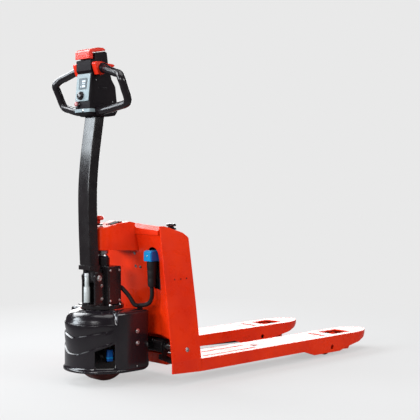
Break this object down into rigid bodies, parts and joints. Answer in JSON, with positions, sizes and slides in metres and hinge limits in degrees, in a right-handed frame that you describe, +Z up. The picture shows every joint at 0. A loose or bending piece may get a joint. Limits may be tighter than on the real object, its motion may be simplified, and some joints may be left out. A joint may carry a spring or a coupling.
{
  "type": "electric pallet truck",
  "caption": "Walk-behind electric pallet truck: long forks on load rollers, battery chassis, steered drive wheel under a cover and an upright tiller with loop grips.",
  "frame": {"origin": "on the floor under the middle of the bounding box", "axes": "+X along the forks from the drive end to the fork tips, +Y to the left seen from the operator looking along the forks, +Z up"},
  "size_m": [1.47, 0.56, 1.25],
  "materials": {
    "red_paint": "gloss powder coat",
    "black_paint": "satin powder coat",
    "black_plastic": "satin moulded",
    "black_rubber": "soft matt",
    "red_plastic": "gloss moulded",
    "blue_plastic": "satin moulded",
    "grey_panel": "printed film",
    "display_glass": "clear gloss window",
    "battery_case": "moulded",
    "steel": "machined",
    "polyurethane": "cast polyurethane"
  },
  "bodies": {
    "base": {"drive_cover": "black_plastic", "yoke_ring": "black_paint", "steering_bearing": "steel", "cable_clip": "black_plastic"},
    "steering": {"turntable": "black_paint", "drive_fork": "black_paint", "drive_axle": "steel", "power_unit": "black_paint", "cylinder_gland": "black_paint", "tiller_bracket": "black_paint", "tiller_pin": "steel", "lead_lower": "black_rubber"},
    "drive_wheel": {"drive_tyre": "polyurethane", "hub_motor": "black_paint"},
    "ram": {"lift_ram": "steel"},
    "tiller": {"tiller_arm": "black_paint", "tiller_knuckle": "black_paint", "head_housing": "black_plastic", "head_panel": "grey_panel", "display": "display_glass", "trim_band": "grey_panel", "handle_left": "black_rubber", "handle_right": "black_rubber"},
    "belly": {"belly_button": "red_plastic"},
    "throttle_l": {"throttle_left": "red_plastic"},
    "throttle_r": {"throttle_right": "red_plastic"},
    "key": {"key_switch": "black_plastic"},
    "horn": {"horn_button": "red_plastic"},
    "spring_body": {"spring_tube": "steel"},
    "spring_stem": {"spring_rod": "steel"},
    "chassis": {"fork_left": "red_paint", "fork_right": "red_paint", "side_plate_left": "red_paint", "side_plate_right": "red_paint", "front_panel": "red_paint", "load_plate": "red_paint", "battery_lid": "red_paint", "hood": "red_paint", "cross_beam": "red_paint", "battery": "battery_case", "thrust_cup": "steel", "rocker_shaft": "steel", "hood_grip": "black_plastic", "leg_pin_left": "steel", "leg_pin_right": "steel", "battery_connector": "blue_plastic", "connector_boot": "black_rubber", "charge_socket": "black_plastic", "stop_collar": "black_plastic", "lead_upper": "black_rubber"},
    "stop": {"stop_button": "red_plastic"},
    "rocker_arm": {"rocker": "black_paint"},
    "rod_left": {"push_rod_left": "black_paint"},
    "rod_right": {"push_rod_right": "black_paint"},
    "leg_left": {"load_leg_left": "red_paint", "roller_axle_left": "steel"},
    "leg_right": {"load_leg_right": "red_paint", "roller_axle_right": "steel"},
    "roller_left": {"load_roller_left": "polyurethane"},
    "roller_right": {"load_roller_right": "polyurethane"}
  },
  "joints": [
    {"name": "steer", "type": "hinge", "parent": "base", "child": "steering", "pos_m": [-0.585, 0, 0.25], "axis": [0, 0, 1], "range_deg": [-90, 90]},
    {"name": "drive_spin", "type": "hinge", "parent": "steering", "child": "drive_wheel", "pos_m": [-0.585, 0, 0.105], "axis": [0, 1, 0], "continuous": true},
    {"name": "lift", "type": "slide", "parent": "base", "child": "chassis", "axis": [0, 0, 1], "range_m": [0, 0.11]},
    {"name": "ram_rise", "type": "slide", "parent": "steering", "child": "ram", "axis": [0, 0, 1], "range_m": [0, 0.11]},
    {"name": "tilt", "type": "hinge", "parent": "steering", "child": "tiller", "pos_m": [-0.633, 0, 0.392], "axis": [0, 1, 0], "range_deg": [-75, 0], "stiffness_Nm_per_rad": 30, "springref_deg": 14.32},
    {"name": "spring_swing", "type": "hinge", "parent": "steering", "child": "spring_body", "pos_m": [-0.6575, 0, 0.302], "axis": [0, 1, 0], "range_deg": [-4, 1]},
    {"name": "spring_stroke", "type": "slide", "parent": "spring_body", "child": "spring_stem", "axis": [0, 0, 1], "range_m": [-0.045, 0.002]},
    {"name": "belly_press", "type": "slide", "parent": "tiller", "child": "belly", "axis": [1, 0, 0], "range_m": [0, 0.006], "stiffness_N_per_m": 600},
    {"name": "throttle_turn", "type": "hinge", "parent": "tiller", "child": "throttle_l", "pos_m": [-0.635, 0.058, 1.172], "axis": [0, 1, 0], "range_deg": [-15, 15], "stiffness_Nm_per_rad": 0.8},
    {"name": "throttle_turn_right", "type": "hinge", "parent": "tiller", "child": "throttle_r", "pos_m": [-0.635, -0.058, 1.172], "axis": [0, 1, 0], "range_deg": [-15, 15], "stiffness_Nm_per_rad": 0.8},
    {"name": "key_turn", "type": "hinge", "parent": "tiller", "child": "key", "pos_m": [-0.67878, 0.006, 1.07089], "axis": [-0.9939, 0, 0.1104], "range_deg": [0, 90]},
    {"name": "horn_press", "type": "slide", "parent": "tiller", "child": "horn", "axis": [0.9939, 0, -0.1104], "range_m": [0, 0.003], "stiffness_N_per_m": 400},
    {"name": "stop_press", "type": "slide", "parent": "chassis", "child": "stop", "axis": [0, 0, -1], "range_m": [0, 0.006]},
    {"name": "rocker_swing", "type": "hinge", "parent": "chassis", "child": "rocker_arm", "pos_m": [-0.402, 0, 0.126], "axis": [0, 1, 0], "range_deg": [-46, 1]},
    {"name": "rod_swing_left", "type": "hinge", "parent": "rocker_arm", "child": "rod_left", "pos_m": [-0.41914, 0.147, 0.08486], "axis": [0, 1, 0], "range_deg": [-1, 46]},
    {"name": "leg_swing_left", "type": "hinge", "parent": "chassis", "child": "leg_left", "pos_m": [0.595, 0.205, 0.058], "axis": [0, 1, 0], "range_deg": [-52, 1]},
    {"name": "roller_spin_left", "type": "hinge", "parent": "leg_left", "child": "roller_left", "pos_m": [0.443, 0.205, 0.037], "axis": [0, 1, 0], "continuous": true},
    {"name": "rod_swing_right", "type": "hinge", "parent": "rocker_arm", "child": "rod_right", "pos_m": [-0.41914, -0.147, 0.08486], "axis": [0, 1, 0], "range_deg": [-1, 46]},
    {"name": "leg_swing_right", "type": "hinge", "parent": "chassis", "child": "leg_right", "pos_m": [0.595, -0.205, 0.058], "axis": [0, 1, 0], "range_deg": [-52, 1]},
    {"name": "roller_spin_right", "type": "hinge", "parent": "leg_right", "child": "roller_right", "pos_m": [0.443, -0.205, 0.037], "axis": [0, 1, 0], "continuous": true}
  ],
  "couplings": [
    {"joint": "ram_rise", "follows": "lift", "ratio": 1},
    {"joint": "rocker_swing", "follows": "lift", "rad_per_m": -7.178},
    {"joint": "spring_swing", "follows": "tilt", "ratio": 0.04},
    {"joint": "spring_stroke", "follows": "tilt", "m_per_rad": 0.0321},
    {"joint": "throttle_turn_right", "follows": "throttle_turn", "ratio": 1},
    {"joint": "rod_swing_left", "follows": "lift", "rad_per_m": 7.178},
    {"joint": "leg_swing_left", "follows": "lift", "rad_per_m": -8.0529},
    {"joint": "rod_swing_right", "follows": "lift", "rad_per_m": 7.178},
    {"joint": "leg_swing_right", "follows": "lift", "rad_per_m": -8.0529}
  ]
}
